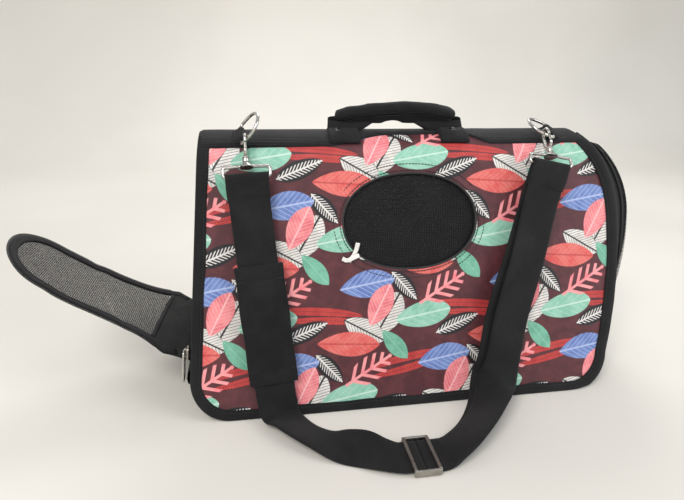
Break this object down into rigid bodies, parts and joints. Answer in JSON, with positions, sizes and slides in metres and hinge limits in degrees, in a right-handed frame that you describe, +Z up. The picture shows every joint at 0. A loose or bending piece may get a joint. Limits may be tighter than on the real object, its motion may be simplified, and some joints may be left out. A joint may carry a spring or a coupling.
{
  "type": "pet_carrier_bag",
  "caption": "Soft-sided travel carrier bag for a small pet with a leaf-print shell, oval mesh window, zipped mesh end door, top handle and clip-on shoulder strap",
  "frame": {"origin": "Centre of the base's underside, on the floor.", "axes": "+X along the bag from the mesh door to the domed end, +Y from the side with the strap to the other side, +Z up."},
  "size_m": [0.6628, 0.3005, 0.293],
  "materials": {
    "printed_fabric": "satin leaf print on stiff laminated fabric",
    "black_fabric": "plain woven",
    "black_webbing": "ribbed polypropylene webbing",
    "binding_tape": "fine ribbed tape",
    "mesh_fabric": "open square mesh",
    "zip_plastic": "moulded coil",
    "nickel_metal": "bright nickel plate",
    "white_ribbon": "satin ribbon",
    "board": "fibreboard",
    "mat_fleece": "short fleece"
  },
  "bodies": {
    "shell": {"front_panel": "printed_fabric", "back_panel": "printed_fabric", "ridge_webbing": "black_webbing", "front_binding": "binding_tape", "back_binding": "binding_tape", "front_window_mesh": "mesh_fabric", "back_window_mesh": "mesh_fabric", "floor_panel": "black_fabric", "base_board": "board", "floor_mat": "mat_fleece", "door_sill": "black_fabric", "left_zip_tape": "black_webbing", "left_zip_chain": "zip_plastic", "right_end_panel": "black_fabric", "right_end_zip": "zip_plastic", "ring_tab_left": "black_webbing", "ring_tab_right": "black_webbing", "d_ring_left": "nickel_metal", "d_ring_right": "nickel_metal", "handle_end_left": "black_fabric", "handle_end_right": "black_fabric", "handle_rivets": "nickel_metal", "window_tag": "white_ribbon"},
    "handle": {"handle_roll": "black_fabric", "handle_flap": "black_fabric"},
    "door": {"door_border": "black_fabric", "door_mesh": "mesh_fabric", "door_base_flap": "black_fabric", "door_zip_chain": "zip_plastic"},
    "slider": {"zip_slider": "nickel_metal"},
    "pull": {"zip_pull": "nickel_metal"},
    "strap": {"hook_left": "nickel_metal", "hook_right": "nickel_metal", "strap_loop_left": "nickel_metal", "strap_loop_right": "nickel_metal", "strap_left": "black_webbing", "strap_right_front": "black_webbing", "strap_right_back": "black_webbing"},
    "gate_left": {"hook_gate_left": "nickel_metal"},
    "gate_right": {"hook_gate_right": "nickel_metal"},
    "pad": {"shoulder_pad": "black_fabric"},
    "adjuster": {"adjuster_frame": "nickel_metal", "adjuster_bar": "nickel_metal"}
  },
  "joints": [
    {"name": "door_hinge", "type": "hinge", "parent": "shell", "child": "door", "pos_m": [-0.21802, 0, 0.05032], "axis": [0, 1, 0], "range_deg": [-34, 46]},
    {"name": "handle_fold", "type": "hinge", "parent": "shell", "child": "handle", "pos_m": [0, 0, 0.274], "axis": [1, 0, 0], "range_deg": [-110, 45]},
    {"name": "zip_slide", "type": "slide", "parent": "shell", "child": "slider", "axis": [0.0772, 0.2671, 0.9606], "range_m": [0, 0.12]},
    {"name": "zip_pull_swing", "type": "hinge", "parent": "slider", "child": "pull", "pos_m": [-0.22051, -0.07666, 0.06557], "axis": [0, 1, 0], "range_deg": [0, 150]},
    {"name": "strap_lift", "type": "hinge", "parent": "shell", "child": "strap", "pos_m": [-0.15468, -0.0347, 0.25811], "axis": [0.9999, 0.012, 0.011], "range_deg": [-150, 0]},
    {"name": "gate_left_press", "type": "hinge", "parent": "strap", "child": "gate_left", "pos_m": [-0.15468, -0.04346, 0.25356], "axis": [1, 0, 0], "range_deg": [-26, 0], "stiffness_Nm_per_rad": 0.001, "springref_deg": 17.19},
    {"name": "gate_right_press", "type": "hinge", "parent": "strap", "child": "gate_right", "pos_m": [0.14672, -0.04055, 0.25858], "axis": [1, 0, 0], "range_deg": [-26, 0], "stiffness_Nm_per_rad": 0.001, "springref_deg": 17.19},
    {"name": "pad_slide", "type": "slide", "parent": "strap", "child": "pad", "axis": [-0.0922, 0.2355, 0.9675], "range_m": [0, 0.055]},
    {"name": "adjuster_slide", "type": "slide", "parent": "strap", "child": "adjuster", "axis": [1, 0, 0], "range_m": [-0.006, 0.004]}
  ]
}
